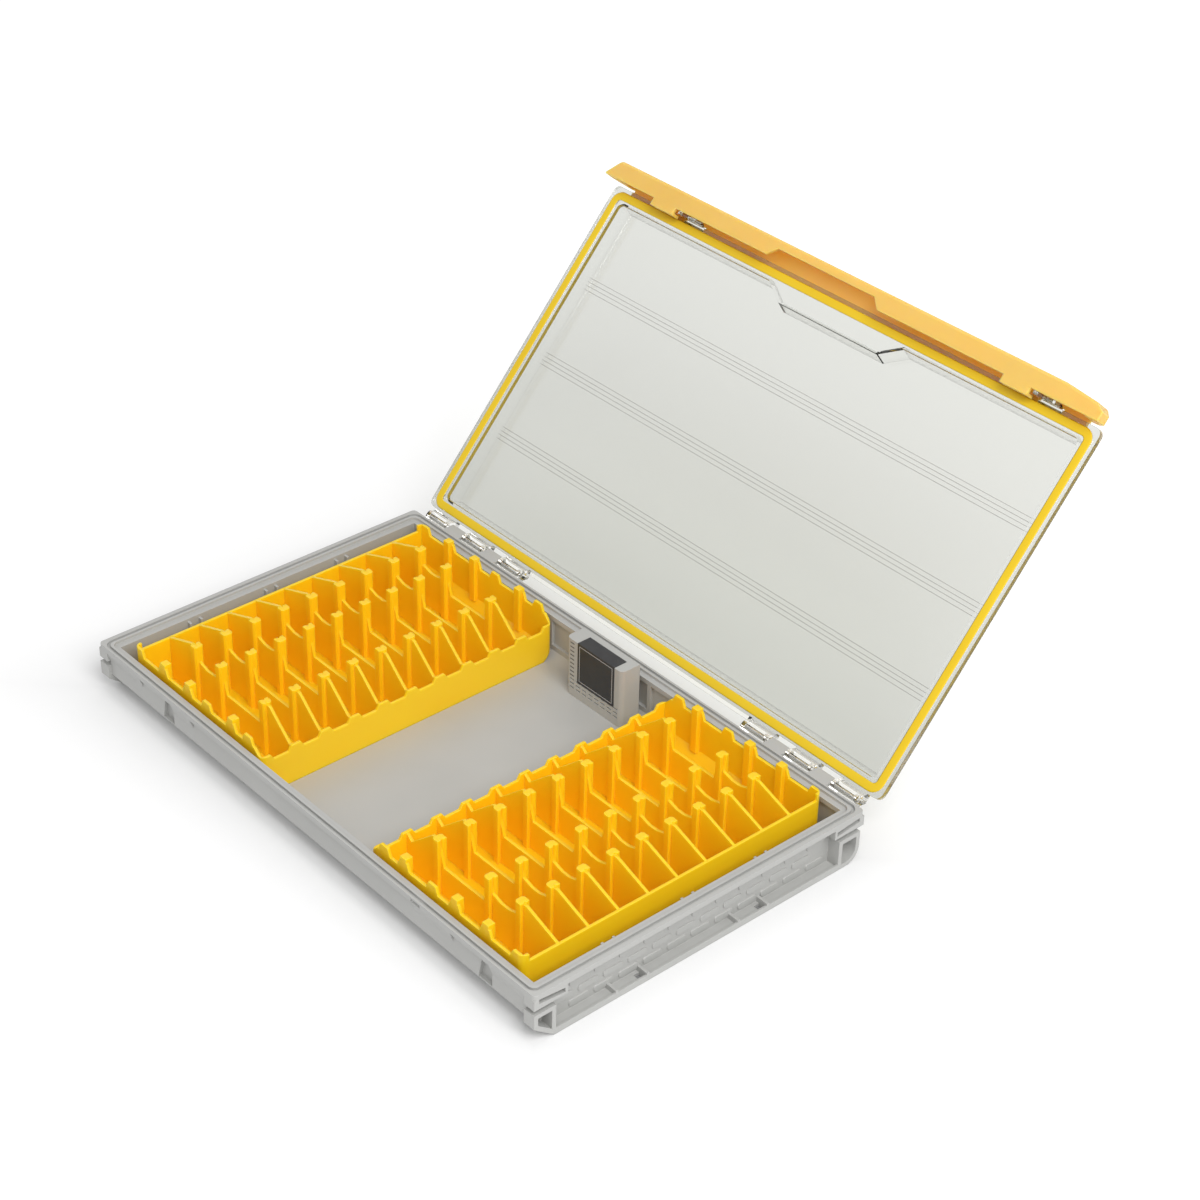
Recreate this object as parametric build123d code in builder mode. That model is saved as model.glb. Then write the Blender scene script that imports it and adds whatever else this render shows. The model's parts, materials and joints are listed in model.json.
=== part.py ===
from build123d import *
import os
from math import cos, radians, sin, tan

os.makedirs("parts", exist_ok=True)

# All sizes are in millimetres and angles in degrees. The box lies along X, its
# hinge is at the back (+Y) and the ground is at height 0 below the middle.

# Case
case_length = 362.0
case_depth = 212.0
rim_height = 29.5
floor_thickness = 2.6
flange_thickness = 3.0
rim_end_width = 9.4
rim_side_width = 7.5
end_wall = 2.0
front_lip = 2.0
back_lip = 1.0
front_slope_height = 12.0
front_slope_run = 11.0
back_curve = 15.0
slope_wall = 2.6
case_corner = 2.5

# Sealing rib on the rim, with a groove outside it and a step inside it
seal_inset_end = 5.0
seal_inset_side = 3.6
seal_rib_width = 1.4
seal_groove_width = 1.8
rim_step_depth = 1.6
seal_corner = 4.6

# Catch lips, pockets and corner blocks of the case
hook_station = 131.0
catch_lip_width = 22.0
middle_lip_start = -95.0
middle_lip_end = 91.0
lip_fill_drop = 6.0
lip_notch_width = 7.0
lip_notch_height = 2.0
lip_notch_lap = 1.0
pocket_offset = 14.0
pocket_top_width = 7.0
pocket_bottom_width = 13.0
pocket_depth = 2.4
pocket_foot = 12.5
channel_length = 20.0
channel_height = 5.7
channel_wall = 1.5
channel_end_wall = 3.0
channel_slant = 1.6
foot_height = 17.8
front_foot_width = 13.2
back_foot_width = 14.4
back_foot_inset = 2.0
foot_wall = 2.4
foot_toe = 1.0
foot_round = 9.0
ledge_thickness = 1.8
ledge_lip_width = 1.2
ledge_lip_height = 1.6
stacking_rib_width = 1.6
stacking_rib_height = 3.0
stacking_stations = (-46.0, 32.0)
stacking_span = 21.0
ledge_slot = 3.6

# Inside of the case
guide_rib_stations = (-52.0, -2.0, 46.0)
guide_rib_spacing = 7.0
guide_rib_width = 1.4
guide_rib_drop = 3.5
guide_rib_reach = 2.6
guide_step_height = 13.0
panel_count = 17
panel_rib = 3.0
panel_recess = 1.8
panel_top_drop = 4.5
panel_bottom = 9.0

# Hinge
hinge_outset = 5.1
hinge_drop = 1.9
hinge_start = 90.0
lid_knuckle = 18.0
case_knuckle = 13.1
knuckle_gap = 0.6
lid_barrel_radius = 3.4
arm_relief = 0.5
pin_window_inset = 2.4
pin_window_width = 2.6
pin_window_reach = 6.0
case_barrel_radius = 2.9
hinge_pin_radius = 1.2
running_clearance = 0.05
pin_end_wall = 1.8
open_angle = 131.0

# Lid
lid_gap = 0.6
lid_end_inset = 0.5
lid_front_overhang = 1.0
lid_plate = 3.2
lid_corner = 4.0
plate_lap = 1.0
back_strip_half = 88.0
back_strip_reach = 2.6
recess_end_inset = 9.0
recess_side_inset = 8.0
recess_depth = 9.5
recess_corner = 3.0
recess_taper = 14.5
dome_wall = 2.0
dome_panel = 1.7
thumb_notch_centre = 1.5
thumb_notch_half = 50.0
thumb_notch_tip = 36.5
thumb_notch_depth = 8.6
thumb_notch_round = 4.0
panel_line_groups = 3
panel_line_pitch = 49.6
panel_lines = 2
panel_line_spacing = 4.8
panel_line_width = 2.5
panel_line_height = 0.35

# Seal
seal_width = 4.8
seal_thickness = 2.0
seal_squeeze_gap = 0.3

# Latch
latch_pivot_inset = 3.5
latch_barrel = 2.1
latch_gap = 0.5
latch_reach = 12.3
latch_back_gap = 1.7
latch_drop = 10.1
latch_wall = 2.0
latch_edge_round = 2.0
latch_plate_half = 169.0
latch_tip_overhang = 2.5
latch_tip_slant = 7.3
latch_end_slant = 6.3
latch_shoulder = 27.0
latch_shoulder_step = 2.0
latch_end_drop = 5.0
latch_crown = 8.0
latch_lap = 1.0
hook_width = 18.0
hook_wall = 1.5
hook_gap = 0.4
catch_play = 0.3
latch_pin_radius = 0.9
latch_pin_grip = 4.2
lug_width = 14.4
lug_gap = 0.4
lug_room = 9.0
ear_base = 6.0
tab_thickness = 2.2
tab_drop = 6.6
tab_window_inset = 2.6
scoop_centre = -10.0
scoop_half = 42.0
scoop_tip_half = 36.0
scoop_depth = 5.5

# Lure trays
compartment_width = 91.0
tray_end_gap = 10.4
tray_side_gap = 2.2
tray_clearance = 0.4
tray_wall = 1.6
tray_floor = 1.6
tray_corner = 4.0
tray_slope = 6.3
tray_end_rise = 0.6
tray_inner_drop = 4.0
tray_notch_depth = 3.0
tray_notch_slant = 1.8
tray_notch_gap = 5.8
tray_side_rise = 0.2
bay_count = 10
end_bay_extra = 3.3
divider_wall = 1.6
divider_drop = 1.0
skyline_margin = 1.0
post_length = 4.4
post_width = 5.6
post_groove = 1.0
outer_post_setback = 27.2
middle_post_setback = 50.2
inner_post_setback = 26.5
outer_post_rise = 9.4
inner_post_rise = 8.0
saddle_drop = 2.0
web_drop = 8.0
gusset_foot_drop = 7.5
gusset_foot_setback = 5.5
bump_rise = 4.6
bump_base = 9.0
bump_top = 5.5
half_post_rise = 6.8
half_post_reach = 2.6
middle_bump_setback = 67.2
inner_bump_setback = 11.5

# Desiccant holder
holder_left = -17.5
holder_width = 44.5
holder_depth = 12.6
holder_back_gap = 3.9
holder_rise = 9.3
holder_wall = 1.6
holder_round = 3.0
holder_heel_rise = 1.2
holder_heel_run = 5.0
cover_thickness = 1.4
cover_clearance = 0.1
pack_gap = 0.6
pack_rise = 30.0
vent_columns = 8
vent_rows = 3
vent_length = 3.4
vent_height = 0.8
vent_pitch_x = 5.0
vent_pitch_z = 2.6
vent_foot = 5.4
label_left = -8.2
label_width = 29.2
label_drop = 25.3
label_lap = 8.5
label_thickness = 0.25

# Places worked out from the sizes above
end_x = case_length / 2
front_y = -case_depth / 2
back_y = case_depth / 2
cavity_x = end_x - rim_end_width
cavity_y = back_y - rim_side_width
wall_x = cavity_x + end_wall
wall_front = front_y + front_lip
wall_back = back_y - back_lip
flange_base = rim_height - flange_thickness
seal_x = end_x - seal_inset_end
seal_y = back_y - seal_inset_side
hinge_y = back_y + hinge_outset
hinge_z = rim_height - hinge_drop
lid_low = rim_height + lid_gap
lid_top = lid_low + lid_plate
lid_x = end_x - lid_end_inset
lid_front = front_y - lid_front_overhang
lid_back = back_y
recess_x = lid_x - recess_end_inset
recess_y = back_y - recess_side_inset
recess_top = lid_low + recess_depth
dome_top = recess_top + dome_panel
pivot_y = lid_front + latch_pivot_inset
pivot_z = lid_top + latch_gap + latch_barrel
latch_front = lid_front - latch_reach
latch_back = lid_front - latch_back_gap
latch_low = lid_low - latch_drop
latch_top = lid_top + latch_gap + latch_wall
tray_x0 = compartment_width / 2
tray_x1 = cavity_x - tray_end_gap
tray_y = cavity_y - tray_side_gap
bay_pitch = 2 * (tray_y - end_bay_extra) / bay_count
outer_post_x = tray_x1 - outer_post_setback
middle_post_x = tray_x1 - middle_post_setback
inner_post_x = tray_x0 + inner_post_setback
holder_back = cavity_y - holder_back_gap
holder_front = holder_back - holder_depth
holder_mid = holder_left + holder_width / 2
holder_top = rim_height + holder_rise

# The closed lid's frame, turned about the hinge to the open rest position, so
# that lid and latch outlines are drawn where they lie on the closed box.
lid_up = Vector(0, sin(radians(open_angle)), cos(radians(open_angle)))
lid_rear = Vector(0, cos(radians(open_angle)), -sin(radians(open_angle)))
lid_origin = Vector(0, hinge_y, hinge_z) - lid_rear * hinge_y - lid_up * hinge_z
lid_frame = Plane(origin=lid_origin, x_dir=(1, 0, 0), z_dir=lid_up)
lid_side = Plane(origin=lid_origin, x_dir=lid_rear, z_dir=(1, 0, 0))
lid_face = Plane(origin=lid_origin, x_dir=(1, 0, 0), z_dir=-lid_rear)

# Stretches of the hinge along X on the right half, mirrored to the left
knuckle_step = lid_knuckle + case_knuckle + 2 * knuckle_gap
lid_knuckles = [hinge_start + i * knuckle_step for i in range(3)]
case_knuckles = [start + lid_knuckle + knuckle_gap for start in lid_knuckles[:2]]
hinge_end = lid_knuckles[-1] + lid_knuckle
hook_end = hook_width - catch_lip_width / 2
lug_starts = [station + hook_end + lug_gap for station in (-hook_station, hook_station)]


def both_sides(start, width):
    """Starts of a stretch on the right half and of its mirror image on the left."""
    return (start, -start - width)


def frame_outline(half_x, half_y, width, corner):
    """A rounded rectangular ring, centred on its own line, in the current sketch."""
    RectangleRounded(2 * half_x + width, 2 * half_y + width, corner + width / 2)
    inner = corner - width / 2
    RectangleRounded(2 * half_x - width, 2 * half_y - width, inner, mode=Mode.SUBTRACT)


# Base case: a tub with a flanged rim, stacking feet and half of the hinge
slope_offset = slope_wall * (front_slope_height**2 + front_slope_run**2) ** 0.5
slope_per_rise = front_slope_run / front_slope_height
slope_foot = wall_front + front_slope_run + slope_offset / front_slope_height
slope_foot = slope_foot - floor_thickness * slope_per_rise
slope_head = floor_thickness + (slope_foot + cavity_y) / slope_per_rise
curve_y = wall_back - back_curve
curve_radius = back_curve - floor_thickness
curve_head = back_curve - (curve_radius**2 - (cavity_y - curve_y) ** 2) ** 0.5

with BuildPart() as base_case:
    with BuildSketch(Plane.YZ.offset(-wall_x)):
        with BuildLine():
            Polyline(
                (wall_back, back_curve),
                (wall_back, flange_base),
                (wall_front, flange_base),
                (wall_front, front_slope_height),
                (wall_front + front_slope_run, 0),
                (curve_y, 0),
            )
            RadiusArc((curve_y, 0), (wall_back, back_curve), -back_curve)
        make_face()
    extrude(amount=2 * wall_x)
    with BuildSketch(Plane.XY.offset(flange_base)):
        RectangleRounded(case_length, case_depth, case_corner)
    extrude(amount=flange_thickness)

    # Corner channels under the flange, hollow feet below them and a ledge between
    block_width = end_x - wall_x
    foot_cut = front_slope_height - front_lip / slope_per_rise
    foot_back = wall_back + back_lip - back_foot_inset
    foot_low = foot_back - back_foot_width
    foot_fall = foot_cut / (front_foot_width - foot_toe)
    hollow_shift = foot_cut + foot_wall * (1 + foot_fall**2) ** 0.5
    hollow_high = hollow_shift - foot_fall * foot_wall
    hollow_low = hollow_shift - foot_fall * (front_foot_width - foot_wall)
    for side in (1, -1):
        with BuildSketch(Plane.YZ.offset(side * wall_x)):
            for y_start in (front_y, back_y - channel_length):
                with Locations((y_start + channel_length / 2, flange_base - channel_height / 2)):
                    Rectangle(channel_length, channel_height)
            with BuildLine():
                Polyline(
                    (front_y, foot_cut),
                    (front_y, foot_height),
                    (front_y + front_foot_width, foot_height),
                    (front_y + front_foot_width, 0),
                    (front_y + front_foot_width - foot_toe, 0),
                    close=True,
                )
            make_face()
            with BuildLine():
                Polyline(
                    (foot_back, foot_round),
                    (foot_back, foot_height),
                    (foot_low, foot_height),
                    (foot_low, 0),
                    (foot_back - foot_round, 0),
                )
                RadiusArc((foot_back - foot_round, 0), (foot_back, foot_round), -foot_round)
            make_face()
            with Locations(((front_y + front_foot_width + foot_low) / 2, ledge_thickness / 2)):
                Rectangle(foot_low - front_y - front_foot_width, ledge_thickness)
        extrude(amount=side * block_width)
        lip_x = side * (end_x - ledge_lip_width)
        with BuildSketch(Plane.YZ.offset(lip_x)):
            lip_top = ledge_thickness + ledge_lip_height
            with Locations(((front_y + front_foot_width + foot_low) / 2, lip_top / 2)):
                Rectangle(foot_low - front_y - front_foot_width, lip_top)
        extrude(amount=side * ledge_lip_width)
        with BuildSketch(Plane.XY.offset(ledge_thickness)):
            for station in stacking_stations:
                for end in (-1, 1):
                    rib_y = station + end * (stacking_span - stacking_rib_width) / 2
                    with Locations((side * (wall_x + block_width / 2), rib_y)):
                        Rectangle(block_width, stacking_rib_width)
        extrude(amount=stacking_rib_height)
        with BuildSketch(Plane.XY):
            for station in stacking_stations:
                slot_y = station + stacking_span / 2 - stacking_rib_width - ledge_slot / 2
                with Locations((side * (wall_x + ledge_slot), slot_y)):
                    Rectangle(ledge_slot, ledge_slot)
        extrude(amount=ledge_thickness, mode=Mode.SUBTRACT)
        # Slanted slot of each channel and the hollow of each foot, open at the end
        with BuildSketch(Plane.YZ.offset(side * end_x)):
            slot_top = flange_base
            slot_low = flange_base - channel_height + channel_wall
            for mirror_y in (1, -1):
                y_out = mirror_y * (back_y - channel_end_wall)
                y_in = mirror_y * (back_y - channel_length + channel_wall)
                with BuildLine():
                    Polyline(
                        (y_out, slot_low + channel_slant),
                        (y_out, slot_top),
                        (y_in, slot_top - channel_slant),
                        (y_in, slot_low),
                        close=True,
                    )
                make_face()
            with BuildLine():
                Polyline(
                    (front_y + foot_wall, hollow_high),
                    (front_y + foot_wall, foot_height - foot_wall),
                    (front_y + front_foot_width - foot_wall, foot_height - foot_wall),
                    (front_y + front_foot_width - foot_wall, hollow_low),
                    close=True,
                )
            make_face()
            with BuildLine():
                bend = foot_round - foot_wall
                Polyline(
                    (foot_back - foot_wall, foot_round),
                    (foot_back - foot_wall, foot_height - foot_wall),
                    (foot_low + foot_wall, foot_height - foot_wall),
                    (foot_low + foot_wall, foot_wall),
                    (foot_back - foot_round, foot_wall),
                )
                RadiusArc(
                    (foot_back - foot_round, foot_wall), (foot_back - foot_wall, foot_round), -bend
                )
            make_face()
        extrude(amount=-side * block_width, mode=Mode.SUBTRACT)

    # Flush stretches between the catch lips, sloping back into the front wall
    lip_edges = [-hook_station - catch_lip_width / 2, -hook_station + catch_lip_width / 2]
    lip_edges = lip_edges + [middle_lip_start, middle_lip_end]
    lip_edges = lip_edges + [hook_station - catch_lip_width / 2, hook_station + catch_lip_width / 2]
    fill_starts = [-wall_x, lip_edges[1], lip_edges[3], lip_edges[5]]
    fill_ends = [lip_edges[0], lip_edges[2], lip_edges[4], wall_x]
    for start, end in zip(fill_starts, fill_ends):
        with BuildSketch(Plane.YZ.offset(start)):
            with BuildLine():
                Polyline(
                    (front_y, flange_base),
                    (wall_front, flange_base),
                    (wall_front, flange_base - lip_fill_drop),
                    close=True,
                )
            make_face()
        extrude(amount=end - start)
    with BuildSketch(Plane.XZ.offset(-front_y)):
        notch_x = middle_lip_end - lip_notch_lap + lip_notch_width / 2
        with Locations((notch_x, flange_base + lip_notch_height / 2)):
            Rectangle(lip_notch_width, lip_notch_height)
    extrude(amount=-front_lip, mode=Mode.SUBTRACT)
    # Trapezoid pockets beside the catch lips
    with BuildSketch(Plane.XZ.offset(-front_y)):
        for station in (-hook_station, hook_station):
            pocket_x = station + pocket_offset
            with BuildLine():
                Polyline(
                    (pocket_x - pocket_bottom_width / 2, pocket_foot),
                    (pocket_x - pocket_top_width / 2, flange_base),
                    (pocket_x + pocket_top_width / 2, flange_base),
                    (pocket_x + pocket_top_width / 2, pocket_foot),
                    close=True,
                )
            make_face()
    extrude(amount=-front_lip - pocket_depth, mode=Mode.SUBTRACT)

    # Cavity with its sloped front and curved back lower edges
    with BuildSketch(Plane.YZ.offset(-cavity_x)):
        with BuildLine():
            Polyline(
                (cavity_y, curve_head),
                (cavity_y, rim_height),
                (-cavity_y, rim_height),
                (-cavity_y, slope_head),
                (slope_foot, floor_thickness),
                (curve_y, floor_thickness),
            )
            RadiusArc((curve_y, floor_thickness), (cavity_y, curve_head), -curve_radius)
        make_face()
    extrude(amount=2 * cavity_x, mode=Mode.SUBTRACT)
    # Recessed panels between upright ribs along both long walls
    panel_pitch = 2 * cavity_x / panel_count
    panel_top = rim_height - panel_top_drop
    for wall in (1, -1):
        with BuildSketch(Plane.XZ.offset(-wall * cavity_y)):
            with Locations((0, (panel_top + panel_bottom) / 2)):
                with GridLocations(panel_pitch, 0, panel_count, 1):
                    Rectangle(panel_pitch - panel_rib, panel_top - panel_bottom)
        extrude(amount=-wall * panel_recess, mode=Mode.SUBTRACT)
    # Pairs of guide ribs, with a foot that holds the trays away from the end walls
    rib_top = rim_height - guide_rib_drop
    foot_reach = tray_end_gap - tray_clearance
    for side in (1, -1):
        for station in guide_rib_stations:
            for rib_y in (station - guide_rib_spacing / 2, station + guide_rib_spacing / 2):
                with BuildSketch(Plane.XZ.offset(-rib_y - guide_rib_width / 2)):
                    with BuildLine():
                        Polyline(
                            (side * cavity_x, floor_thickness),
                            (side * cavity_x, rib_top),
                            (side * (cavity_x - guide_rib_reach), rib_top),
                            (side * (cavity_x - guide_rib_reach), guide_step_height),
                            (side * (cavity_x - foot_reach), guide_step_height - guide_rib_reach),
                            (side * (cavity_x - foot_reach), floor_thickness),
                            close=True,
                        )
                    make_face()
                extrude(amount=guide_rib_width)

    # Rim: groove outside the sealing rib and a step inside it
    rib_edge = seal_rib_width / 2
    with BuildSketch(Plane.XY.offset(rim_height)):
        frame_outline(
            seal_x + rib_edge + seal_groove_width / 2,
            seal_y + rib_edge + seal_groove_width / 2,
            seal_groove_width,
            seal_corner,
        )
        RectangleRounded(2 * (seal_x - rib_edge), 2 * (seal_y - rib_edge), seal_corner - rib_edge)
    extrude(amount=-rim_step_depth, mode=Mode.SUBTRACT)

    # Hinge knuckles, flat on top and level with the rim
    for knuckle in case_knuckles:
        for start in both_sides(knuckle, case_knuckle):
            with BuildSketch(Plane.YZ.offset(start)):
                with Locations((hinge_y, hinge_z)):
                    Circle(case_barrel_radius)
                web_height = rim_height - hinge_z + case_barrel_radius
                with Locations(((wall_back + hinge_y) / 2, rim_height - web_height / 2)):
                    Rectangle(hinge_y - wall_back, web_height)
                with Locations((hinge_y, rim_height + case_barrel_radius / 2)):
                    Rectangle(3 * case_barrel_radius, case_barrel_radius, mode=Mode.SUBTRACT)
                with Locations((hinge_y, hinge_z)):
                    Circle(hinge_pin_radius + running_clearance, mode=Mode.SUBTRACT)
            extrude(amount=case_knuckle)

# Hinge pins: one steel rod through each group of knuckles
pin_length = hinge_end - hinge_start - 2 * pin_end_wall
hinge_pins = {}
for name, start in zip(("right", "left"), both_sides(hinge_start + pin_end_wall, pin_length)):
    with BuildPart() as hinge_pin:
        with BuildSketch(Plane.YZ.offset(start)):
            with Locations((hinge_y, hinge_z)):
                Circle(hinge_pin_radius)
        extrude(amount=pin_length)
    hinge_pins["hinge_pin_" + name] = hinge_pin.part

# Lid: a clear plate with a shallow domed recess, seal groove, hinge and latch lugs
notch_root = -recess_y
notch_tip = notch_root + thumb_notch_depth
with BuildPart() as lid:
    with BuildSketch(lid_frame.offset(lid_low)):
        with Locations((0, (lid_front + lid_back) / 2)):
            RectangleRounded(2 * lid_x, lid_back - lid_front, lid_corner)
    extrude(amount=lid_plate)
    dome_passes = ((dome_wall, dome_top - lid_low, Mode.ADD), (0, recess_depth, Mode.SUBTRACT))
    for grow, height, mode in dome_passes:
        with BuildSketch(lid_frame.offset(lid_low)):
            with BuildLine():
                Polyline(
                    (-recess_x - grow, notch_root - grow),
                    (thumb_notch_centre - thumb_notch_half + grow / 2, notch_root - grow),
                    (thumb_notch_centre - thumb_notch_tip + grow / 2, notch_tip - grow),
                    (thumb_notch_centre + thumb_notch_tip - grow / 2, notch_tip - grow),
                    (thumb_notch_centre + thumb_notch_half - grow / 2, notch_root - grow),
                    (recess_x + grow, notch_root - grow),
                    (recess_x + grow, recess_y + grow),
                    (-recess_x - grow, recess_y + grow),
                    close=True,
                )
            outline = make_face()
            corners = outline.vertices().group_by(Axis.X)
            fillet(corners[0] + corners[-1], recess_corner + grow)
            notch = outline.vertices().filter_by_position(
                Axis.X, thumb_notch_centre - thumb_notch_half, thumb_notch_centre + thumb_notch_half
            )
            fillet(notch, thumb_notch_round)
        extrude(amount=height, taper=recess_taper, mode=mode)
    # Strip behind the plate, between the two groups of knuckles
    with BuildSketch(lid_frame.offset(lid_low)):
        with Locations((0, lid_back + back_strip_reach / 2 - plate_lap / 2)):
            Rectangle(2 * back_strip_half, back_strip_reach + plate_lap)
    extrude(amount=lid_plate)
    # Groove for the seal
    with BuildSketch(lid_frame.offset(lid_low)):
        frame_outline(seal_x, seal_y, seal_width, seal_corner)
    extrude(amount=seal_thickness - seal_squeeze_gap, mode=Mode.SUBTRACT)
    # Low flat ribs across the panel, in pairs
    with BuildSketch(lid_frame.offset(recess_top)):
        with GridLocations(0, panel_line_pitch, 1, panel_line_groups):
            with GridLocations(0, panel_line_spacing, 1, panel_lines):
                line_length = 2 * (recess_x - recess_depth * tan(radians(recess_taper)))
                Rectangle(line_length - recess_corner, panel_line_width)
    extrude(amount=-panel_line_height)
    # Hinge knuckles on arms behind the plate
    for knuckle in lid_knuckles:
        for start in both_sides(knuckle, lid_knuckle):
            with BuildSketch(lid_side.offset(start)):
                with BuildLine():
                    Polyline(
                        (lid_back - plate_lap, lid_top),
                        (hinge_y, lid_top),
                        (hinge_y + lid_barrel_radius, hinge_z),
                        (hinge_y, hinge_z - lid_barrel_radius / 2),
                        (hinge_y - lid_barrel_radius, hinge_z),
                        (lid_back + arm_relief, lid_low),
                        (lid_back - plate_lap, lid_low),
                        close=True,
                    )
                make_face()
                with Locations((hinge_y, hinge_z)):
                    Circle(lid_barrel_radius)
            extrude(amount=lid_knuckle)
    bore_start = hinge_start + pin_end_wall - knuckle_gap / 2
    for start in both_sides(bore_start, pin_length + knuckle_gap):
        with BuildSketch(lid_side.offset(start)):
            with Locations((hinge_y, hinge_z)):
                Circle(hinge_pin_radius + running_clearance)
        extrude(amount=pin_length + knuckle_gap, mode=Mode.SUBTRACT)
    # Window in each knuckle, over the pin on the side that faces the case
    with BuildSketch(Plane.XY.offset(hinge_z)):
        for knuckle in lid_knuckles:
            for start in both_sides(knuckle, lid_knuckle):
                with Locations((start + lid_knuckle / 2, hinge_y)):
                    Rectangle(lid_knuckle - 2 * pin_window_inset, pin_window_width)
    extrude(amount=pin_window_reach, mode=Mode.SUBTRACT)
    # Windowed tabs over the case's pockets, and ears on top that carry the latch
    tab_low = lid_low - tab_drop
    window_low = tab_low + tab_window_inset / 2
    for start in lug_starts:
        with BuildSketch(lid_side.offset(start)):
            with BuildLine():
                Polyline(
                    (lid_front + plate_lap, lid_top),
                    (lid_front, lid_top),
                    (lid_front - tab_thickness, lid_low),
                    (lid_front - tab_thickness, tab_low),
                    (lid_front, tab_low),
                    (lid_front, lid_low),
                    (lid_front + plate_lap, lid_low),
                    close=True,
                )
            make_face()
            with BuildLine():
                Polyline(
                    (pivot_y - ear_base / 2, lid_top - plate_lap),
                    (pivot_y - latch_barrel, pivot_z),
                    (pivot_y + latch_barrel, pivot_z),
                    (pivot_y + ear_base / 2, lid_top - plate_lap),
                    close=True,
                )
            make_face()
            with Locations((pivot_y, pivot_z)):
                Circle(latch_barrel)
                Circle(latch_pin_radius + running_clearance, mode=Mode.SUBTRACT)
        extrude(amount=lug_width)
        with BuildSketch(lid_face.offset(-lid_front)):
            with Locations((start + lug_width / 2, (lid_low + window_low) / 2)):
                Rectangle(lug_width - 2 * tab_window_inset, lid_low - window_low)
        extrude(amount=tab_thickness, mode=Mode.SUBTRACT)

# Seal: a soft frame pressed into the lid's groove
with BuildPart() as lid_seal:
    with BuildSketch(lid_frame.offset(lid_low - seal_squeeze_gap)):
        frame_outline(seal_x, seal_y, seal_width, seal_corner)
    extrude(amount=seal_thickness)

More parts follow.
